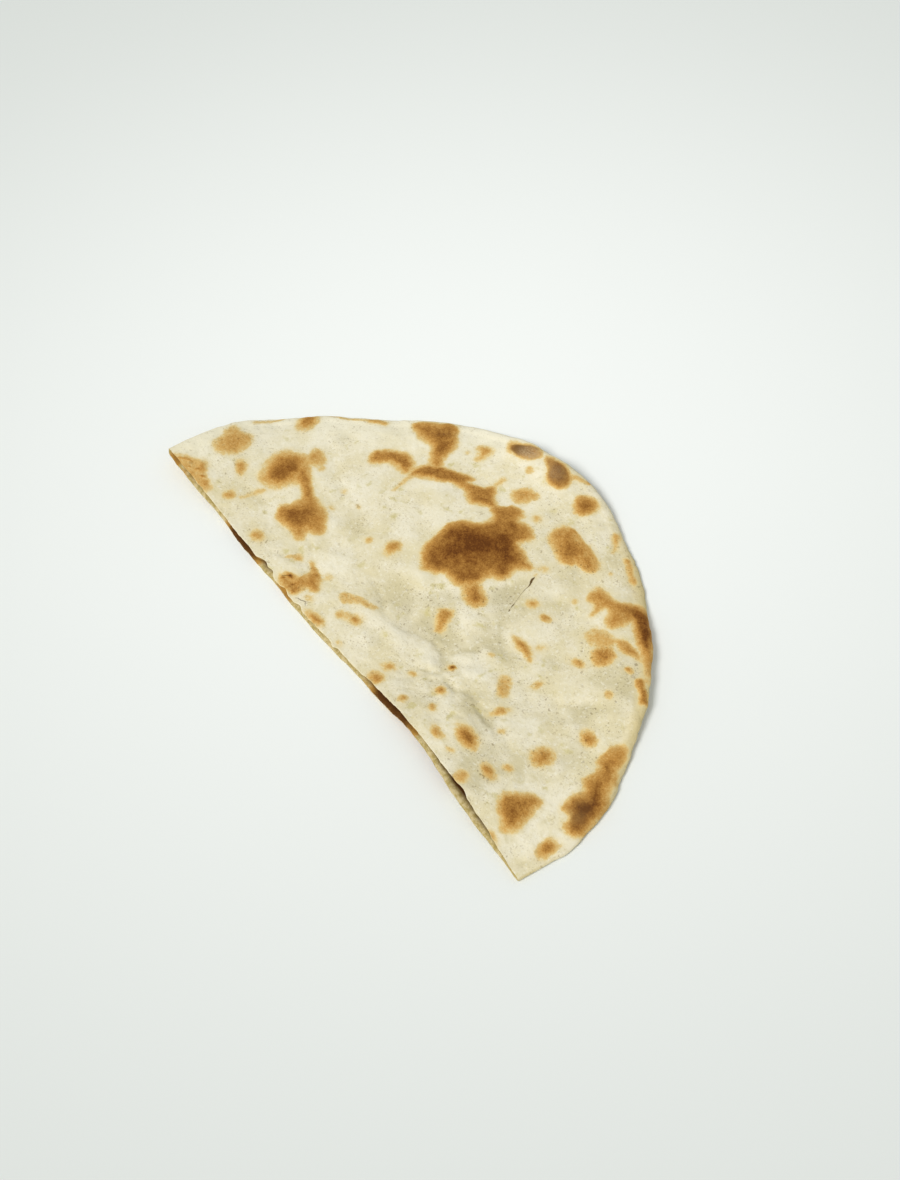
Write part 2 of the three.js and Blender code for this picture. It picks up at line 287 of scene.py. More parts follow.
# Round and oval spots, with their strength
SPOTS = (
    (5, 116, 4.4, 5, 0.65), (-15, 100, 4.2, 4.4, 0.44), (-12, 103.2, 2.6, 2.2, 0.34, 20),
    (-2.3, 97.7, 2.3, 2, 0.28), (-22.8, 109.2, 1.9, 1.7, 0.26), (-47, 96, 2.2, 2, 0.12),
    (39, 85, 1.9, 1.7, 0.24), (36.3, 104.5, 1.6, 1.5, 0.2), (30.3, 71.5, 2.4, 2.1, 0.46),
    (38.7, 71.6, 2, 2.2, 0.48), (19, 85, 3.2, 2.6, 0.16, 30), (19.8, 80.8, 1.9, 1.2, 0.17, -60),
    (58, 81.6, 6.4, 4.8, 0.35, 12), (65.2, 78, 4.7, 4.8, 0.55), (76.5, 81, 1.9, 1.8, 0.42),
    (84, 84, 2.4, 2, 0.2), (61.5, 68.8, 2.9, 2.2, 0.46, 10), (80, 68.8, 2.4, 2.2, 0.27),
    (-101, 53.5, 4, 5.6, 0.62, 30), (-106.5, 22, 6.4, 8, 0.42, 10), (-112, 25, 3.4, 4, 0.3),
    (-93.5, 18, 4, 2.6, 0.46, -35), (-84, 7, 2.8, 3, 0.36), (-83, 24, 3.6, 3.2, 0.4),
    (-75, 44.6, 2.4, 2, 0.22), (-60, 5.8, 3.5, 3, 0.38), (-55, 36.8, 2.6, 2, 0.16),
    (-50, 45.3, 1.8, 1.6, 0.18), (-60, 45, 2.2, 1.9, 0.13), (-23.3, 44.8, 2.9, 3.6, 0.5, 25),
    (-32.3, 39.3, 2.1, 1.7, 0.28, -30), (47.6, 61.8, 3.6, 2, 0.22, 58), (40, 46, 2, 1.8, 0.2),
    (36, 31, 1.2, 1.3, 0.86), (-2.6, 14.8, 2.7, 2.1, 0.46, 30), (-12.8, 2.3, 4.6, 2.1, 0.52, 5),
    (22, 13, 3, 2, 0.34, 30), (30, 18.3, 1.8, 1.4, 0.3, 20), (23.3, 7, 3, 3, 0.5), (38, 8.6, 2, 2, 0.42),
    (43, 21.6, 1.7, 1.6, 0.5), (48, 15.2, 1.6, 1.5, 0.36), (61, 51.3, 2.2, 3.1, 0.28, -10),
    (63.2, 33.3, 2.2, 3.4, 0.46, -12), (70.8, 29, 1.8, 1.6, 0.25), (65.8, 17.6, 5.5, 3.2, 0.68, -10),
    (58.5, 10, 3.6, 1.9, 0.4, 5), (67, 9, 1.9, 1.6, 0.22), (77.7, 6, 2.6, 3, 0.36),
    (81, 15.6, 3.2, 2.5, 0.48, -10), (84, 22, 2, 1.9, 0.3), (87, 34.5, 3.8, 4.4, 0.5, 10),
    (90, 52.5, 3.5, 3, 0.48), (116, 15, 3, 4.6, 0.6), (102, 2, 2.6, 2, 0.45), (2.5, 4, 1.2, 1.1, 0.34),
    (-101, 4.2, 4.2, 2.8, 0.46, -40), (-93, 1.6, 3.2, 2.2, 0.42, -20), (-103.3, 0.3, 0.7, 0.5, 0.9),
    (-100.8, 2.1, 1.9, 0.8, 0.86, 65), (-96.8, 2.2, 1.7, 0.7, 0.86, 25), (-92.2, 1, 0.8, 0.5, 0.9),
    (-31.2, 3, 0.9, 0.8, 1.1), (-28.2, 2.7, 1.2, 1, 1.2), (-29.8, 4.6, 0.8, 0.7, 1.1),
    (-35.2, 5.5, 2.4, 1.3, 1.1, 25), (-36.4, 3.4, 1.6, 1.1, 1, 40), (-31.6, 4.4, 1.7, 1.2, 1, 60),
    (-26.6, 17, 3.4, 2.4, 0.15, 40), (-22, 6.2, 3.2, 2.2, 0.17, 40), (-10.9, 3, 2, 1.1, 0.74, 10),
)

# Strokes: start x, y, half width, then end x, y, half width, then strength
STROKES = (
    (15, 42.6, 3.3, 18.9, 37.4, 1.6, 0.52), (53, 43, 2.9, 57, 39.5, 2.2, 0.29),
    (-13.6, 16.8, 3, -9, 20.8, 2, 0.28), (-9, 20.8, 2, -2.8, 23, 1.6, 0.27),
    (-8.8, 11.4, 2.1, -3.2, 15, 2.7, 0.24), (-25.6, 95.5, 1.9, -26, 99, 1.9, 0.2),
    (23.5, 117, 2, 28.5, 111.5, 1, 0.32), (35, 113, 1.2, 44, 108.3, 1.3, 0.46),
    (-9, 120.3, 1.2, -3, 123.3, 1, 0.42), (-50, 71, 1.4, -48.2, 61, 0.7, 0.3),
    (-86.2, 74.4, 1.1, -81.3, 79.4, 1, 0.52), (-98.1, 63, 0.9, -93.4, 67.2, 0.9, 0.3),
    (-93.4, 67.2, 0.9, -87, 73.4, 0.8, 0.28), (83, 81, 1.8, 90, 77, 1.7, 0.74),
    (-44.8, 9.2, 0.8, -41, 12.8, 2, 0.3), (-110.1, -0.1, 0.5, -108.1, 1.4, 0.8, 0.7),
    (-108.1, 1.4, 0.8, -105.3, 2.8, 0.5, 0.7), (-79, 20, 1.8, -80, 10, 1.2, 0.21),
    (-112.2, 35.5, 1.4, -108.4, 45.6, 1.2, 0.26),
)

# Ovals that darken further
CORES = (
    (-5.5, 70.5, 18, 9.5, 0.2, 43), (-7.5, 69, 11, 7, 0.09, 43), (2, 84, 9, 5, 0.1, 20),
    (7, 79, 6, 4.5, 0.1), (-83, 30.4, 7.2, 7.4, 0.17), (-54.5, 90, 6, 4.6, 0.15, 20),
    (17.7, 97.3, 7.5, 6.5, 0.12, -15), (28.5, 100, 4, 3.6, 0.12), (55, 99.5, 7, 3.5, 0.16, 20),
    (63.8, 97.3, 15, 5.6, 0.46, -38), (112, 33, 8, 11, 0.14, 20), (98, 12, 5, 4, 0.14),
    (-34.6, 112.8, 6, 4.4, 0.14, 50), (-18, 120, 5, 3, 0.12, -30), (-62, 70, 5, 2.5, 0.05, 45),
    (16, 58, 3.4, 2.8, 0.2), (-43, 81, 9, 2.5, 0.1, 35), (6.5, 62.5, 5.5, 4.5, 0.12),
    (43, 57.4, 4, 1.2, 0.1, -8), (-25.4, 9.8, 3.6, 2.4, 0.14, 30), (-69, 33, 4, 3, 0.1, 30),
    (-62, 22, 5, 4, 0.08),
)

# How browned a place is where it can darken further, and where it can be charred
CORE_TOAST = (0.3, 0.55)
CHAR_TOAST = (0.15, 0.45)
# Charred ovals and, on the blisters, ashy ones
CHARS = (
    (-33, 112.2, 7.5, 5.4, 0.5, 50), (-30, 116.4, 5.5, 2, 0.5, 50), (-14, 116.4, 11, 6, 0.42, -6),
    (112, 32, 7, 11, 0.3, 20),
)
ASHES = ((-27.6, 114.8, 8, 5.8, 1, 50), (-15, 115.6, 7, 4.5, 0.4, -6))

# Brown spots of the underside: smallest and largest reach, count, strength
UNDERSIDE_SPOTS = ((5, 10, 16, 0.6), (1.5, 4, 70, 0.45))
UNDERSIDE_REACH = 114
UNDERSIDE_SEED = 71
BLOTCH_STRENGTH = 0.58
BLOTCH_NOISE = (0.5, 0.9)

# A slit in the top skin, as points with the half width there of its gap, painted dark as shade; the gap
# ends below zero
SLIT = (
    (20.4, 80.6, -0.1), (21.1, 79.2, 0.5), (21.9, 77.7, 0.6), (22.7, 76.1, 0.36), (23.2, 74.4, 0.14),
    (23.9, 71.9, 0.05), (25.1, 68.6, 0.03), (26.2, 66.6, 0.02), (26.7, 65.5, 0.28), (27, 64.6, 0.1),
    (27.3, 63.9, -0.05), (27.8, 62.9, 0.25), (28.2, 61.8, -0.1),
)
# Cracks in the torn skin near the cut, given as the slit is
CRACKS = (
    ((-25.2, 1.6, 0), (-24.4, 2.5, 0.05), (-22.4, 3.1, 0.16), (-20.8, 4.1, 0.06), (-19.1, 5.6, -0.1)),
    ((-21.3, 3.8, 0.05), (-20.4, 3, 0.1), (-19.2, 2.4, -0.05)),
    ((-37.6, 2.9, 0.05), (-36, 4.8, 0.1), (-33.7, 6.3, 0)),
)
SLIT_FLAP = 0.42
SLIT_SINK = 0.2
SLIT_GROOVE = 0.25
SLIT_SIDES = 0.8
SLIT_REACH = 6
SLIT_CLOSING = 0.2

# Colours as they show in soft daylight, red, green and blue out of 255
FLOUR_AND_LIGHT = (247, 242, 224)
RIM_PALE = (245, 238, 213)
CREAM_PALE = (240, 231, 204)
CREAM = (229, 217, 179)
CREAM_DULL = (211, 198, 155)
HOLLOW_AND_SHADE = (198, 186, 144)
BRAN = (150, 130, 98)
OLIVE = (205, 191, 124)
GOLDEN = (207, 187, 128)
BROWNING = (
    (0, (229, 216, 174)), (0.12, (227, 202, 142)), (0.30, (214, 172, 101)), (0.50, (191, 139, 67)),
    (0.72, (153, 103, 41)), (0.88, (126, 77, 24)), (1, (100, 55, 12)),
)
ASH = (190, 162, 120)
CHAR = (116, 84, 46)
CRUMB_PALE = (206, 188, 140)
CRUMB_DULL = (172, 152, 92)
CRUMB_TOASTED = (174, 130, 60)
CRUMB_BURNT_AND_SHADED = (90, 54, 18)
POCKET_PAINTED_SHADE = (72, 40, 4)
SLIT_SHADE = (84, 56, 0)
# Floor colour in the middle of its painted pool of light, and its painted shade further away
FLOOR = (250, 252, 249)
FLOOR_PAINTED_SHADE = (221, 224, 220)
# Noise in the crust's colours and bump: wavelength, detail, roughness and, for the share of a colour,
# the noise at which it starts and is full, its full value and its least
GRAIN = {
    "clouds": (13, 4, 0.6, 0.36, 0.62), "patches": (3.2, 3, 0.6, 0.5, 0.75, 0.5),
    "flour": (1.2, 2, 0.5, 0.56, 0.7, 0.4), "flecks": (4.4, 3, 0.55, 0.56, 0.72),
    "fleck areas": (17, 2, 0.5, 0.45, 0.6, 0.65, 0.1), "speck areas": (7, 3, 0.6, 0.36, 0.62, 1, 0.2),
    "fine specks": (0.7, 1, 0.5, 0.58, 0.72, 0.36), "coarse specks": (1.5, 1, 0.5, 0.63, 0.74, 0.48),
    "ash": (0.5, 2, 0.6, 0.36, 0.64, 1, 0.35), "crumb": (1.6, 4, 0.65, 0.36, 0.64), "fray": (1.7, 4, 0.65),
    "grain": (0.55, 2, 0.6), "burnt streaks": (4, 3, 0.6), "coarse bump": (3.2, 3, 0.6),
    "fine bump": (1, 3, 0.6),
}

# The studio: middle of the pool of light painted on the floor, how far away the floor's painted shade is
# darkest, and how far the floor reaches, in metres
PAINTED_LIGHT_MIDDLE = (-0.06, 0.036, 0)
PAINTED_LIGHT_FADE = 0.45
FLOOR_REACH = 16
FLOOR_DROP = 0.0001
CAMERA_AZIMUTH = 58.6
CAMERA_ELEVATION = 52
CAMERA_ROLL = -4
CAMERA_DISTANCE = 620.6
CAMERA_AIM = (4.7, 52)
CAMERA_LENS = 50
KEY_STRENGTH = 2
KEY_ANGLE = 24
# Where the key light stands: right of the view, towards the viewer, up
KEY_PLACE = (-1.3, 1.1, 1.8)
ROOM_COLOUR = (0.97, 1, 0.985, 1)
ROOM_STRENGTH = 0.5
HORIZON_STRENGTH = 0.74
HORIZON_HEIGHT = 0.35


def linear(colour):
    """A screen colour out of 255 as the linear values that shaders take."""
    shares = [channel / 255 for channel in colour]
    curve = [s / 12.92 if s <= 0.04045 else ((s + 0.055) / 1.055) ** 2.4 for s in shares]
    return (*curve, 1.0)


def ease(low, high, value):
    """A smooth rise from nothing at the low value to one at the high value."""
    t = np.clip((value - low) / (high - low), 0, 1)
    return t * t * (3 - 2 * t)


def swell(offset):
    """A smooth rise from nothing at one reach away to one in the middle."""
    fall = np.clip(1 - offset * offset, 0, None)
    return fall * fall


def swells(spots, x, y):
    """Sum of smooth swellings over the plan."""
    total = np.zeros_like(x)
    for spot_x, spot_y, reach_x, reach_y, height in spots:
        total += height * swell(np.hypot((x - spot_x) / reach_x, (y - spot_y) / reach_y))
    return total


def along_cut(spots, x):
    """Sum of smooth swellings along the cut."""
    return sum(height * swell((x - place) / reach) for place, reach, height in spots)


def turned(x, y, angle):
    """Places along and across a direction."""
    cos = math.cos(angle)
    sin = math.sin(angle)
    return x * cos + y * sin, y * cos - x * sin


def lattice_noise(x, y, wavelength, seed):
    """Smooth noise from -1 to 1, on a seeded lattice turned by a seeded angle."""
    draw = np.random.default_rng(seed)
    heights = draw.uniform(-1, 1, (LATTICE, LATTICE))
    across, along = (place / wavelength for place in turned(x, y, draw.uniform(0, math.pi)))
    column = np.floor(across).astype(int)
    row = np.floor(along).astype(int)
    right = ease(0, 1, across - column)
    up = ease(0, 1, along - row)
    steps = ((0, 0), (1, 0), (0, 1), (1, 1))
    corners = [heights[(column + a) % LATTICE, (row + b) % LATTICE] for a, b in steps]
    near = corners[0] * (1 - right) + corners[1] * right
    far = corners[2] * (1 - right) + corners[3] * right
    return near * (1 - up) + far * up


def rough_noise(x, y, wavelength, octaves, seed):
    """Noise in octaves, each half as long and strong as the one before."""
    total = np.zeros_like(x)
    for octave in range(octaves):
        total += lattice_noise(x, y, wavelength / 2 ** octave, seed + octave) / 2 ** octave
    return total


def noise(kind, x, y):
    middle, amount, wavelength, octaves, seed = NOISE[kind]
    return middle + amount * rough_noise(x, y, wavelength, octaves, seed)


# The plan and the section of the bread

def curve_between(before, start, end, after, t):
    """A smooth curve from start to end, by the points before and after them."""
    slope_start = (end - before) / 2
    slope_end = (after - start) / 2
    cubic = 2 * start - 2 * end + slope_start + slope_end
    square = 3 * end - 3 * start - 2 * slope_start - slope_end
    return ((cubic * t + square) * t + slope_start) * t + start


def rim_curve(angle):
    """Distance of the smooth rim from the middle of the cut."""
    radii = np.array(RIM_RADII)
    last = len(radii) - 1
    place = np.clip(angle / RIM_STEP, 0, last)
    step = np.minimum(np.floor(place).astype(int), last - 1)
    around = [radii[np.clip(step + offset, 0, last)] for offset in (-1, 0, 1, 2)]
    return curve_between(*around, place - step)


def rim_radius(angle):
    """The rim with its small unevenness, which dies out at the corners."""
    radius = rim_curve(angle)
    x = radius * np.cos(angle)
    y = radius * np.sin(angle)
    inward = ease(*CALM_CORNER, angle) * ease(*CALM_CORNER, math.pi - angle)
    return radius + inward * (noise("rim", x, y) + noise("fine rim", x, y))


def rim_gap(x, y):
    """Clear width of bread between each point and the rim."""
    return np.clip(rim_radius(np.arctan2(np.clip(y, 0, None), x)) - np.hypot(x, y), 0, None)


def puffing(x, y):
    """How far the bubbles, and the pockets at the cut, raise the top skin."""
    near_cut = swell((y - along_cut(CUT_BENDS, x)) / POCKET_REACH_Y)
    return swells(PUFFS, x, y) + near_cut * along_cut(POCKET_PUFFS, x)


def plan_points(along, across, radius_of):
    """Points of the plan: along runs from corner to corner, across from the cut to the rim."""
    radius = radius_of(math.pi - along)
    cut_x = -RIM_RADII[-1] + (RIM_RADII[0] + RIM_RADII[-1]) * (1 - np.cos(along)) / 2
    cut_y = along_cut(CUT_BENDS, cut_x)
    x = cut_x + (-radius * np.cos(along) - cut_x) * across
    return x, cut_y + (radius * np.sin(along) - cut_y) * across


def faces(x, y):
    """Heights of the two faces over each point of the plan, before the fine relief."""
    gap = rim_gap(x, y)
    rounding = np.sqrt(1 - np.clip(1 - gap / RIM_ROUND, 0, 1) ** 2)
    thickness = RIM_THICKNESS + (THICKNESS - RIM_THICKNESS) * ease(0, RIM_TAPER, gap)
    lift = swells(LIFTS, x, y)
    low = lift + thickness / 2 * (1 - rounding)
    high = lift + thickness / 2 * (1 + rounding) + puffing(x, y) * rounding
    return low, high, rounding, gap


def solid_middle():
    """Middle of the solid's box in the plan, which is the origin of the shared frame."""
    along = np.linspace(CORNER_ANGLE, math.pi - CORNER_ANGLE, SOLID_COLUMNS + 1)
    across = 1 - (1 - np.linspace(0, 1, SOLID_ROWS + 1)) ** SOLID_ROW_CROWDING
    x, y = plan_points(along[:, None], across[None, :], rim_curve)
    lowest = min(y.min(), (y[:, 0] - along_cut(LOWER_LIP, x[:, 0])).min())
    return (x.min() + x.max()) / 2, (lowest + y.max()) / 2


# Browning

def smooth_outline(points):
    """A closed smooth curve through the points, as short straight pieces."""
    points = np.array(points, float)
    around = [np.roll(points, shift, axis=0) for shift in (1, 0, -1, -2)]
    pieces = [curve_between(*around, t) for t in np.arange(OUTLINE_STEPS) / OUTLINE_STEPS]
    return np.stack(pieces, axis=1).reshape(-1, 2)


def stroke_distance(x, y, ax, ay, bx, by):
    """Distance from a straight piece, and the share of the way along it."""
    dx = bx - ax
    dy = by - ay
    share = np.clip(((x - ax) * dx + (y - ay) * dy) / (dx * dx + dy * dy), 0, 1)
    return np.hypot(x - ax - share * dx, y - ay - share * dy), share


def depth_in_outline(points, x, y):
    """Depth of each place inside a closed outline, negative outside it."""
    outline = smooth_outline(points)
    distance = np.full(x.shape, np.inf)
    inside = np.zeros(x.shape, bool)
    for (ax, ay), (bx, by) in zip(outline, np.roll(outline, -1, axis=0)):
        distance = np.minimum(distance, stroke_distance(x, y, ax, ay, bx, by)[0])
        if ay != by:
            crossing = (ay > y) != (by > y)
            inside ^= crossing & (x < ax + (y - ay) * (bx - ax) / (by - ay))
    return np.where(inside, distance, -distance)


def ovals(table, x, y):
    """Reaches, amount and share of each oval: one in its middle, nothing at its edge."""
    for oval_x, oval_y, along, across, amount, *turn in table:
        offset, side = turned(x - oval_x, y - oval_y, math.radians(sum(turn)))
        yield along, across, amount, 1 - np.hypot(offset / along, side / across)


def browned(depth, softness, strength, width, margin=SPOT_MARGIN):
    """Browning of a mark, soft at its edge and darker inside, with a faint halo."""
    edge = ease(-softness, softness, depth)
    inner = ease(INNER_START, width, depth)
    halo = HALO_STRENGTH * ease(-HALO_WIDTH, 0, depth)
    return np.maximum(strength * edge * (margin + (1 - margin) * inner), halo * min(strength * 2, 1))


def browning(x, y):
    """Browning of the top skin, from 0 to 1, and the pale margin round its scorches."""
    raised = puffing(x, y) + SKIN_RELIEF
    shift_x = noise("marks in X", x, y) - BUBBLE_SHIFT[0] * raised
    shift_y = noise("marks in Y", x, y) - BUBBLE_SHIFT[1] * raised
    uneven = np.clip(noise("softness", x, y), *SOFTNESS_RANGE)
    x = x + shift_x
    y = y + shift_y
    toast = np.zeros_like(x)
    pale = np.zeros_like(x)
    for strength, margin, softness, width, outline in SCORCHES.values():
        depth = depth_in_outline(outline, x, y)
        toast = np.maximum(toast, browned(depth, softness * uneven, strength, width, margin))
        pale = np.maximum(pale, ease(*PALE_MARGIN, depth) * min(strength * 1.4, 1))
    for along, across, strength, share in ovals(SPOTS, x, y):
        reach = min(along, across)
        softness = min(SPOT_SOFTNESS, reach * SOFT_SHARE) * uneven
        width = max(reach * SPOT_WIDTH_SHARE, LEAST_SPOT_WIDTH)
        toast = np.maximum(toast, browned(reach * share, softness, strength, width))
    for ax, ay, a_width, bx, by, b_width, strength in STROKES:
        distance, share = stroke_distance(x, y, ax, ay, bx, by)
        half_width = a_width + (b_width - a_width) * share
        softness = np.minimum(SPOT_SOFTNESS, half_width * SOFT_SHARE) * uneven
        toast = np.maximum(toast, browned(half_width - distance, softness, strength, STROKE_WIDTH))
    inside = ease(*CORE_TOAST, toast)
    for _, _, amount, share in ovals(CORES, x, y):
        toast = toast + inside * amount * ease(-0.2, 0.85, share)
    return np.clip(toast * noise("mottling", x, y), 0, 1), pale


def charring(spots, x, y, toast):
    """Char or ash on browned places, from 0 to 1."""
    char = np.zeros_like(x)
    for _, _, amount, share in ovals(spots, x, y):
        char = np.maximum(char, amount * ease(-0.1, 0.85, share))
    return np.clip(char * noise("char", x, y), 0, 1) * ease(*CHAR_TOAST, toast)


def underside_browning(x, y):
    """Browning of the underside, in seeded blotches and spots."""
    draw = np.random.default_rng(UNDERSIDE_SEED)
    shift = noise("underside marks", x, y)
    toast = noise("underside tone", x, y)
    x = x + shift
    y = y - shift
    blotches = ease(*BLOTCH_NOISE, noise("underside blotches", x, y))
    toast = np.maximum(toast, BLOTCH_STRENGTH * blotches)
    spots = []
    for smallest, largest, count, strongest in UNDERSIDE_SPOTS:
        for _ in range(count):
            angle = draw.uniform(0, math.pi)
            radius = UNDERSIDE_REACH * math.sqrt(draw.uniform(0, 1))
            reach = draw.uniform(smallest, largest)
            narrow = reach * draw.uniform(0.55, 1)
            turn = draw.uniform(0, 180)
            strength = strongest * draw.uniform(0.45, 1)
            middle = (radius * math.cos(angle), radius * math.sin(angle))
            spots.append((*middle, reach, narrow, strength, turn))
    for reach, narrow, strength, share in ovals(spots, x, y):
        toast = np.maximum(toast, browned(narrow * share, reach * 0.3, strength, reach * 0.6))
    return np.clip(toast, 0, 1)


def rim_stretch(angle, start, full, fading, end):
    """One along a stretch of the rim and nothing beyond it."""
    return ease(start, full, angle) * (1 - ease(fading, end, angle))


def rim_tints_and_shading(x, y, gap):
    """Golden skin on the outer edge, golden skin and painted shade on the right rim, flour and painted
    light on the upper left one.
    """
    angle = np.degrees(np.arctan2(np.clip(y, 0, None), x))
    wide = np.clip(noise("golden width", x, y), LEAST_GOLDEN_WIDTH, None)
    broad = np.clip(noise("floury width", x, y), LEAST_FLOURY_WIDTH, None)
    patchy = np.clip(noise("golden patches", x, y), 0.1, 1)
    near = 1 - ease(0.1, 1.3, gap / wide)
    golden = np.maximum(near * rim_stretch(angle, *GOLDEN_SHADED_RIM), patchy * (1 - ease(0.1, 0.9, gap)))
    floury = np.maximum(near, 0.85 * (1 - ease(0.1, 1, gap / broad)))
    return golden, np.maximum(floury * rim_stretch(angle, *FLOURY_LIT_RIM), swells(FLOURY, x, y))


# Fine relief

def nearest(fields):
    """At each place, the field whose distance, its first value, is the smallest."""
    fields = np.array(fields)
    number = np.abs(fields[:, 0]).argmin(axis=0)
    return np.take_along_axis(fields, number[None, None], axis=0)[0]


def slit_field(x, y, line):
    """Signed distance from a slit, half width of its gap painted as shade, and how far it stands open."""
    x = x + noise("slit in X", x, y)
    y = y + noise("slit in Y", x, y)
    pieces = []
    for number, ((ax, ay, a_gap), (bx, by, b_gap)) in enumerate(zip(line, line[1:])):
        distance, share = stroke_distance(x, y, ax, ay, bx, by)
        turn = (bx - ax) * (y - ay) - (by - ay) * (x - ax)
        gap = a_gap + (b_gap - a_gap) * share
        pieces.append((distance, np.where(turn > 0, 1, -1), gap, (number + share) / (len(line) - 1)))
    distance, side, gap, along = nearest(pieces)
    past_end = (along <= 0) | (along >= 1)
    opened = ease(0, SLIT_CLOSING, along) * ease(0, SLIT_CLOSING, 1 - along)
    return np.minimum(distance, SLIT_REACH) * side, np.where(past_end, -1, gap), opened


def nearest_slit(x, y):
    """Signed distance from the nearest slit or crack, and half width of its gap painted as shade."""
    return nearest([slit_field(x, y, line)[:2] for line in (SLIT, *CRACKS)])


def slit_step(x, y):
    """Raised flap and sunk skin beside the slit, and the groove between them."""
    offset, _, opened = slit_field(x, y, SLIT)
    side = ease(-SLIT_SIDES, SLIT_SIDES, offset)
    apart = swell(offset / SLIT_REACH) * (SLIT_FLAP * side - SLIT_SINK * (1 - side))
    return opened * (apart - SLIT_GROOVE * (1 - ease(0, 1, np.abs(offset))))


def creasing(x, y):
    """Depth of the creases, which wander and fade in and out."""
    depth = np.zeros_like(x)
    wander_x = x + noise("creases in X", x, y)
    wander_y = y + noise("creases in Y", x, y)
    for half_width, deepest, points in CREASES.values():
        for (ax, ay), (bx, by) in zip(points, points[1:]):
            distance, _ = stroke_distance(wander_x, wander_y, ax, ay, bx, by)
            depth = np.maximum(depth, deepest * (1 - ease(0, half_width, distance)))
    return depth * np.clip(noise("crease depth", x, y), *CREASE_RANGE)


def pillows(x, y, wavelength, seed):
    """Low rounded bumps with creases between them, from 0 in a crease to about 1."""
    bend = PILLOW_BEND * wavelength
    bent_x = x + bend * rough_noise(x, y, wavelength * 1.5, 2, seed)
    bent_y = y + bend * rough_noise(x, y, wavelength * 1.5, 2, seed + 2)
    rise = lattice_noise(bent_x, bent_y, wavelength, seed + 4)
    return np.sqrt(rise * rise + PILLOW_ROUNDING) - PILLOW_LOWEST


def top_relief(x, y, toast, char):
    """Bumps, creases, blisters and wrinkles, and duller skin with painted shade in dents, painted light on
    bumps.
    """
    crumpled = swells(CRUMPLED, x, y)
    height = swells(BUMPS, x, y)
    for wavelength, seed, least, added in PILLOWS:
        height = height + (least + added * crumpled) * (pillows(x, y, wavelength, seed) - PILLOW_MIDDLE)
    height = height - creasing(x, y)
    sunk = np.clip(-height / SHADING_DEPTH + 0.3 * crumpled, -1, 1)
    wrinkles = (WRINKLE_HEIGHTS[0] + WRINKLE_HEIGHTS[1] * crumpled) * noise("wrinkles", x, y)
    blisters = BLISTER_HEIGHT * ease(*BLISTER_TOAST, toast)
    ashy = char * noise("ash", x, y)
    return height + noise("waves", x, y) + wrinkles + blisters + ashy + slit_step(x, y), sunk


# The mesh

class Points:
    """Points of the mesh, with the values that each one carries."""

    def __init__(self):
        self.places = []
        self.values = {name: [] for name in POINT_VALUES}

    def add(self, x, y, z, **marks):
        """Adds a grid of points and gives their numbers in the same grid."""
        first = sum(map(len, self.places))
        self.places.append(np.stack([x, y, z], axis=-1).reshape(-1, 3))
        for name, group in self.values.items():
            group.append(np.broadcast_to(marks.get(name, POINT_VALUES[name]), x.shape).ravel())
        return first + np.arange(x.size).reshape(x.shape)


def spread(count):
    """Shares from 0 to 1 as one row, closer together at both ends."""
    even = np.linspace(0, 1, count + 1)[None, :]
    return even - EDGE_CROWDING * np.sin(2 * math.pi * even) / (2 * math.pi)


def skin_points(along, rows, edge, reach):
    """Plan of one skin, whose first row lies on its own edge at the cut, and the faces there."""
    x, y = plan_points(along, spread(rows), rim_radius)
    y = y + (edge - y[:, :1]) * swell(np.clip((y - y[:, :1]) / reach, 0, 1))
    return x, y, *faces(x, y)


def cut_edges(x, y):
    """Where the upper skin, the lower skin and the pocket between them end at the cut."""
    half_gap = rim_gap(x, y) / 2
    torn = noise("upper edge", x, 0 * x) + along_cut(TORN_EDGE, x)
    upper = y + np.minimum(torn, half_gap)
    slant = np.minimum(along_cut(CUT_SLANTS, x), half_gap)
    ragged = np.minimum(noise("lower edge", x, 0 * x), half_gap)
    lower = y - along_cut(LOWER_LIP, x) - slant + ragged
    pocket = y + np.minimum(POCKET_DEPTH + along_cut(POCKET_DEPTHS, x), half_gap)
    return upper, lower, pocket


def top_face(points, along, upper):
    """The top skin, whose rim and end columns lie halfway down, where the other faces meet it."""
    x, y, low, high, rounding, gap = skin_points(along, TOP_ROWS, upper, UPPER_FOLLOWS)
    toast, pale = browning(x, y)
    char = charring(CHARS, x, y, toast)
    ash = charring(ASHES, x, y, toast)
    relief, sunk = top_relief(x, y, toast, np.maximum(char, ash))
    lip = LIP_HEIGHT * swell((gap - LIP_WIDTH) / LIP_WIDTH)
    z = high + (relief + lip) * rounding
    halfway = (low + z) / 2
    z[:, -1] = halfway[:, -1]
    z[[0, -1]] = halfway[[0, -1]]
    # Duller skin and painted shade in the dents and broad shaded areas, painted light on the bumps and
    # broad lit areas, and the pale margin round the scorches
    tint = np.clip(SUNK_SHADING * sunk - PALE_TINT * pale + swells(BROAD_SHADE_AND_LIGHT, x, y), -1, 1)
    golden, floury = rim_tints_and_shading(x, y, gap)
    slit_side, slit_gap = nearest_slit(x, y)
    numbers = points.add(
        x, y, z, toast=toast, char=char, ash=ash, tint=tint, golden=golden, floury=floury,
        slit_side=slit_side, slit_gap=slit_gap)
    return numbers, z[:, :1]


def underside(points, along, lower, rim):
    """The lower skin, which shares the top face's rim and stops short of the blunt corners."""
    x, y, low, _, rounding, _ = skin_points(along, BOTTOM_ROWS, lower, LOWER_FOLLOWS)
    z = low + np.clip(noise("underside", x, y), 0, None) * rounding
    own = np.s_[1:-1, :-1]
    numbers = np.zeros(x.shape, int)
    numbers[own] = points.add(x[own], y[own], z[own], toast=underside_browning(x[own], y[own]))
    numbers[:, -1] = rim
    return numbers, z[:, :1]


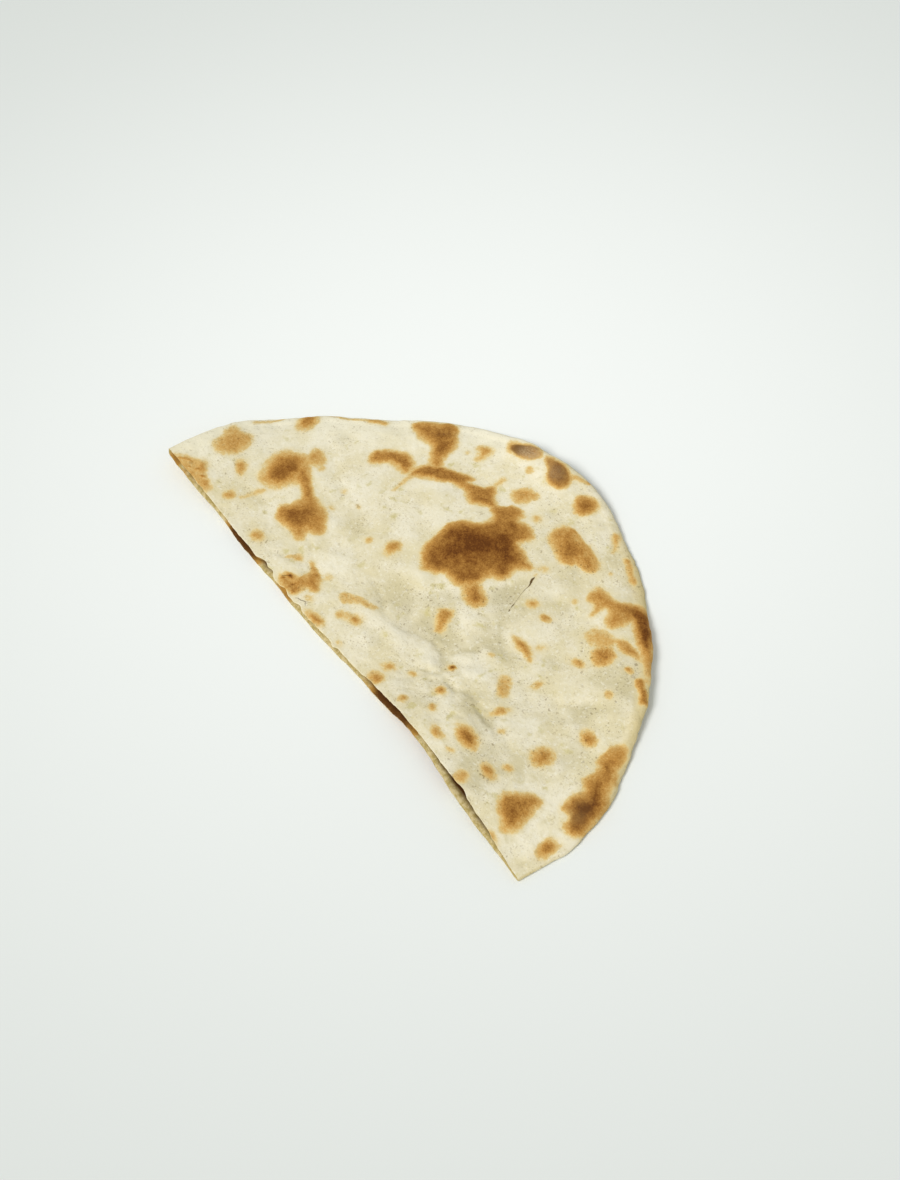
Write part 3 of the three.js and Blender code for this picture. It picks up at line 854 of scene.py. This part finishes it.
def cut_face(points, x, edges, low, high):
    """Rows of the cut between the two skins, from the upper one down, without its two ends."""
    upper, lower, pocket = edges
    skin = (high - low) * SKIN_SHARE
    line = [
        (upper, high), (upper + SKIN_SET_BACK, high - skin), (pocket, (low + high) / 2),
        (lower + SKIN_SET_BACK, low + skin), (lower, low),
    ]
    rows = []
    for (y_from, z_from), (y_to, z_to), steps in zip(line, line[1:], CUT_STEPS):
        for share in np.arange(steps) / steps:
            rows.append((y_from + (y_to - y_from) * share, z_from + (z_to - z_from) * share))
    # Scorching of the cut face, and painted shade on its dark stretch near x 39
    burnt = np.clip(along_cut(BURNT_AND_SHADED_CUT, x), 0, 1)
    thick = ease(*CRUMB_THICKNESS, high - low)
    own = np.s_[1:-1]
    numbers = []
    for row, (y, z) in enumerate(rows[1:]):
        crumb = noise("crumb", x, CRUMB_ROW * row + 0 * x) * thick
        # Painted shade, darker further into the pocket between the skins
        painted_shade = ease(*POCKET_SHADE, y - np.minimum(upper, lower))
        marks = {"crumb": 1, "pocket": painted_shade[own], "burnt": burnt[own]}
        numbers.append(points.add(x[own], (y + crumb)[own], z[own], **marks))
    return numbers


def grid_faces(numbers):
    """Quads of a grid of point numbers."""
    quads = np.stack([numbers[:-1, :-1], numbers[1:, :-1], numbers[1:, 1:], numbers[:-1, 1:]], axis=-1)
    return quads.reshape(-1, 4)


def corner_faces(end_column, bottom_column, cut_column):
    """Triangles from an end of the top face to the underside and the cut beside it."""
    fans = [(end_column[0], a, b) for a, b in zip(cut_column, cut_column[1:])]
    rows = len(bottom_column) - 1
    steps = len(end_column) - 1
    position = 0
    for row in range(rows):
        target = round((row + 1) * steps / rows)
        while position < target:
            fans.append((end_column[position], bottom_column[row], end_column[position + 1]))
            position += 1
        fans.append((end_column[position], bottom_column[row], bottom_column[row + 1]))
    return np.array(fans)


def bread_mesh():
    """Points and faces of the whole piece, as one closed mesh."""
    points = Points()
    along = np.linspace(CORNER_ANGLE, math.pi - CORNER_ANGLE, COLUMNS + 1)[:, None]
    cut_x, cut_y = plan_points(along, np.zeros((1, 1)), rim_radius)
    edges = cut_edges(cut_x, cut_y)
    top, high = top_face(points, along, edges[0])
    bottom, low = underside(points, along, edges[1], top[:, -1])
    rows = cut_face(points, cut_x, edges, low, high)
    cut = np.concatenate([top[1:-1, :1], *rows, bottom[1:-1, :1]], axis=1)
    groups = (
        grid_faces(top),
        grid_faces(bottom[1:-1])[:, ::-1],
        grid_faces(cut)[:, ::-1],
        corner_faces(top[0], bottom[1], cut[0])[:, ::-1],
        corner_faces(top[-1], bottom[-2], cut[-1]),
    )
    return points, [face for group in groups for face in group.tolist()]


def add_object(name, data):
    added = bpy.data.objects.new(name, data)
    bpy.context.scene.collection.objects.link(added)
    return added


def bread_object(material):
    points, polygons = bread_mesh()
    places = (np.concatenate(points.places) - (*solid_middle(), 0)) * MM
    mesh = bpy.data.meshes.new("roti_half_baked")
    mesh.from_pydata(places.tolist(), [], polygons)
    for name, groups in points.values.items():
        layer = mesh.attributes.new(name, "FLOAT", "POINT")
        layer.data.foreach_set("value", np.concatenate(groups).astype(np.float32))
    mesh.shade_smooth()
    mesh.materials.append(material)
    bread = add_object("roti_half_baked", mesh)
    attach(bread, "root")
    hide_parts(NODE)


# Materials

class NodeTree:
    """Nodes of a material or world, and calls that add and link them."""

    def __init__(self, owner, shader):
        owner.use_nodes = True
        self.tree = owner.node_tree
        self.shader = self.tree.nodes[shader]
        self.coordinates = self.add("TexCoord").outputs

    def fill(self, node, inputs):
        """Links a node's inputs or sets them; a plain colour is given out of 255."""
        for key, value in dict(inputs).items():
            socket = node.inputs[key]
            if isinstance(value, bpy.types.NodeSocket):
                self.tree.links.new(value, socket)
            else:
                socket.default_value = linear(value) if socket.type == "RGBA" else value

    def add(self, kind, inputs=(), **settings):
        node = self.tree.nodes.new("ShaderNode" + kind)
        for name, value in settings.items():
            setattr(node, name, value)
        self.fill(node, inputs)
        return node

    def value(self, name):
        return self.add("Attribute", attribute_name=name).outputs["Fac"]

    def noise(self, kind):
        wavelength, detail, roughness, *limits = GRAIN[kind]
        made = self.add("TexNoise", {
            "Vector": self.coordinates["Object"], "Scale": 1 / (wavelength * MM),
            "Detail": detail, "Roughness": roughness,
        }).outputs["Fac"]
        return self.rise(made, *limits) if limits else made

    def rise(self, value, start, end, full=1, least=0):
        """A smooth rise of what comes out while the value goes from start to end."""
        return self.add("MapRange", {
            "Value": value, "From Min": start, "From Max": end, "To Min": least, "To Max": full,
        }, interpolation_type="SMOOTHSTEP").outputs["Result"]

    def math(self, operation, first, second, clamp=False):
        node = self.add("Math", {0: first, 1: second}, operation=operation, use_clamp=clamp)
        return node.outputs["Value"]

    def times(self, first, second, clamp=False):
        return self.math("MULTIPLY", first, second, clamp)

    def mix(self, share, first, second, blend="MIX"):
        """The second colour over the first, by its share."""
        inputs = {0: share, 6: first, 7: second}
        node = self.add("Mix", inputs, data_type="RGBA", blend_type=blend)
        return node.outputs[2]

    def layered(self, colour, *layers):
        """Each layer's colour, by its share, over those before it."""
        for share, over in layers:
            colour = self.mix(share, colour, over)
        return colour

    def ramp(self, value, stops):
        node = self.add("ValToRGB", {"Fac": value})
        elements = node.color_ramp.elements
        while len(elements) < len(stops):
            elements.new(0.5)
        for element, (position, colour) in zip(elements, stops):
            element.position = position
            element.color = linear(colour)
        return node.outputs["Color"]


def cream_colour(nodes, tint):
    """Unbrowned skin: cream clouds, flour flecks, duller hollows with painted shade, bumps pale with
    painted light, olive flecks.
    """
    return nodes.layered(
        CREAM,
        (nodes.noise("clouds"), CREAM_PALE),
        (nodes.noise("patches"), CREAM_DULL),
        # Duller skin and painted shade in the hollows, painted light on the bumps
        (nodes.rise(tint, 0, 0.9, 0.7), HOLLOW_AND_SHADE),
        (nodes.rise(tint, 0, -1, 0.36), FLOUR_AND_LIGHT),
        (nodes.noise("flour"), FLOUR_AND_LIGHT),
        (nodes.times(nodes.noise("flecks"), nodes.noise("fleck areas")), OLIVE),
        # Flour, and painted light on the upper left rim; golden skin, and painted shade along the right rim
        (nodes.times(nodes.value("floury"), 0.95), RIM_PALE),
        (nodes.times(nodes.value("golden"), 0.75), GOLDEN),
    )


def toasted_tone(nodes):
    """Browning with frayed, grainy edges."""
    toast = nodes.value("toast")
    fray = nodes.math("SUBTRACT", nodes.noise("fray"), 0.5)
    grain = nodes.math("SUBTRACT", nodes.noise("grain"), 0.5)
    frayed = nodes.times(fray, nodes.rise(toast, 0, 0.25, 0.5))
    grainy = nodes.times(grain, nodes.rise(toast, 0, 0.5, 0.52))
    return nodes.math("ADD", nodes.math("ADD", toast, frayed), grainy, clamp=True)


def bran_specks(nodes, tint):
    """Share of dark bran: fine and coarse specks, thickest in the hollows and the broad areas of painted
    shade.
    """
    both = nodes.math("MAXIMUM", nodes.noise("fine specks"), nodes.noise("coarse specks"))
    crowded = nodes.times(both, nodes.noise("speck areas"))
    return nodes.times(crowded, nodes.rise(tint, -0.7, 0.6, 1.2, 0.35), clamp=True)


def crumb_colour(nodes):
    """The crumb at the cut, scorched in places, with painted shade on its dark stretch near x 39 and in the
    pocket.
    """
    streaks = nodes.math("SUBTRACT", nodes.noise("burnt streaks"), 0.5)
    burnt = nodes.math("ADD", nodes.value("burnt"), nodes.times(streaks, 0.9), clamp=True)
    return nodes.layered(
        CRUMB_PALE,
        (nodes.noise("crumb"), CRUMB_DULL),
        # Scorched crumb, with painted shade near x 39
        (nodes.rise(burnt, 0.08, 0.45), CRUMB_TOASTED),
        (nodes.rise(burnt, 0.35, 1), CRUMB_BURNT_AND_SHADED),
        # Painted shade in the pocket between the two skins
        (nodes.value("pocket"), POCKET_PAINTED_SHADE),
    )


def slit_shade(nodes):
    """Painted shade in the open gap of the slit and the cracks."""
    offset = nodes.math("ABSOLUTE", nodes.value("slit_side"), 0)
    return nodes.rise(nodes.math("SUBTRACT", nodes.value("slit_gap"), offset), -0.25, 0.25, 0.95)


def crust_material():
    """Baked crust: cream dusted with flour, bran specks, browned marks, ashy blisters, a crumb at the cut,
    and painted shade and light.
    """
    material = bpy.data.materials.new("roti_crust")
    nodes = NodeTree(material, "Principled BSDF")
    tint = nodes.value("tint")
    tone = toasted_tone(nodes)
    browned_share = nodes.rise(tone, 0.01, 0.17)
    skin = nodes.mix(browned_share, cream_colour(nodes, tint), nodes.ramp(tone, BROWNING))
    colour = nodes.layered(
        nodes.mix(bran_specks(nodes, tint), skin, BRAN, "MULTIPLY"),
        (nodes.rise(nodes.value("char"), 0, 0.6, 0.9), CHAR),
        (nodes.times(nodes.value("ash"), nodes.noise("ash")), ASH),
        (nodes.value("crumb"), crumb_colour(nodes)),
        # Painted shade in the gap of the slit and the cracks
        (slit_shade(nodes), SLIT_SHADE),
    )
    height = nodes.math("ADD", nodes.noise("fine bump"), nodes.times(nodes.noise("coarse bump"), 1.2))
    bump = nodes.add("Bump", {"Strength": 0.5, "Distance": 0.3 * MM, "Height": height})
    nodes.fill(nodes.shader, {
        "Base Color": colour, "Roughness": nodes.rise(tone, 0.1, 0.8, 0.7, 0.95),
        "Specular IOR Level": 0.15, "Normal": bump.outputs["Normal"],
    })
    return material


def floor_material():
    """Pale studio paper, with a painted pool of light behind the bread that fades to painted shade."""
    material = bpy.data.materials.new("studio_floor")
    nodes = NodeTree(material, "Principled BSDF")
    ends = {0: nodes.coordinates["Object"], 1: PAINTED_LIGHT_MIDDLE}
    away = nodes.add("VectorMath", ends, operation="DISTANCE").outputs["Value"]
    # Painted light behind the bread, fading to painted shade further away
    colour = nodes.mix(nodes.rise(away, 0, PAINTED_LIGHT_FADE), FLOOR, FLOOR_PAINTED_SHADE)
    nodes.fill(nodes.shader, {"Base Color": colour, "Roughness": 0.9, "Specular IOR Level": 0.1})
    return material


# The studio

def camera_turn():
    """The camera's turn, whose columns are its right, up and back."""
    around = Matrix.Rotation(math.radians(CAMERA_AZIMUTH), 4, "Z")
    down = Matrix.Rotation(math.radians(90 - CAMERA_ELEVATION), 4, "X")
    return around @ down @ Matrix.Rotation(math.radians(CAMERA_ROLL), 4, "Z")


def add_camera():
    data = bpy.data.cameras.new("camera")
    data.lens = CAMERA_LENS
    middle_x, middle_y = solid_middle()
    aim = Vector((CAMERA_AIM[0] - middle_x, CAMERA_AIM[1] - middle_y, 0)) * MM
    away = Matrix.Translation((0, 0, CAMERA_DISTANCE * MM))
    camera = add_object("camera", data)
    camera.matrix_world = Matrix.Translation(aim) @ camera_turn() @ away
    bpy.context.scene.camera = camera


def add_floor():
    signs = ((-1, -1), (1, -1), (1, 1), (-1, 1))
    corners = [(x * FLOOR_REACH, y * FLOOR_REACH, -FLOOR_DROP) for x, y in signs]
    mesh = bpy.data.meshes.new("studio_floor")
    mesh.from_pydata(corners, [], [(0, 1, 2, 3)])
    mesh.materials.append(floor_material())
    floor = add_object("studio_floor", mesh)


def add_key_light():
    """A large soft light from the front left of the view."""
    right, _, back, _ = (column.to_3d() for column in camera_turn().col)
    near = Vector((back.x, back.y, 0)).normalized()
    data = bpy.data.lights.new("key", "SUN")
    data.energy = KEY_STRENGTH
    data.angle = math.radians(KEY_ANGLE)
    towards = KEY_PLACE[0] * right + KEY_PLACE[1] * near + Vector((0, 0, KEY_PLACE[2]))
    light = add_object("key", data)
    light.matrix_world = (-towards).to_track_quat("-Z", "Y").to_matrix().to_4x4()


def add_room():
    """A bright room, brightest near the horizon."""
    world = bpy.data.worlds.new("room")
    nodes = NodeTree(world, "Background")
    height = nodes.add("SeparateXYZ", {0: nodes.coordinates["Generated"]}).outputs["Z"]
    fall = nodes.add("MapRange", {
        "Value": height, "From Max": HORIZON_HEIGHT, "To Min": HORIZON_STRENGTH, "To Max": ROOM_STRENGTH,
    })
    nodes.shader.inputs["Color"].default_value = ROOM_COLOUR
    nodes.fill(nodes.shader, {"Strength": fall.outputs["Result"]})
    bpy.context.scene.world = world
    bpy.context.scene.view_settings.view_transform = "Standard"


def main():
    add_camera()
    bread_object(crust_material())
    add_floor()
    add_key_light()
    add_room()


main()
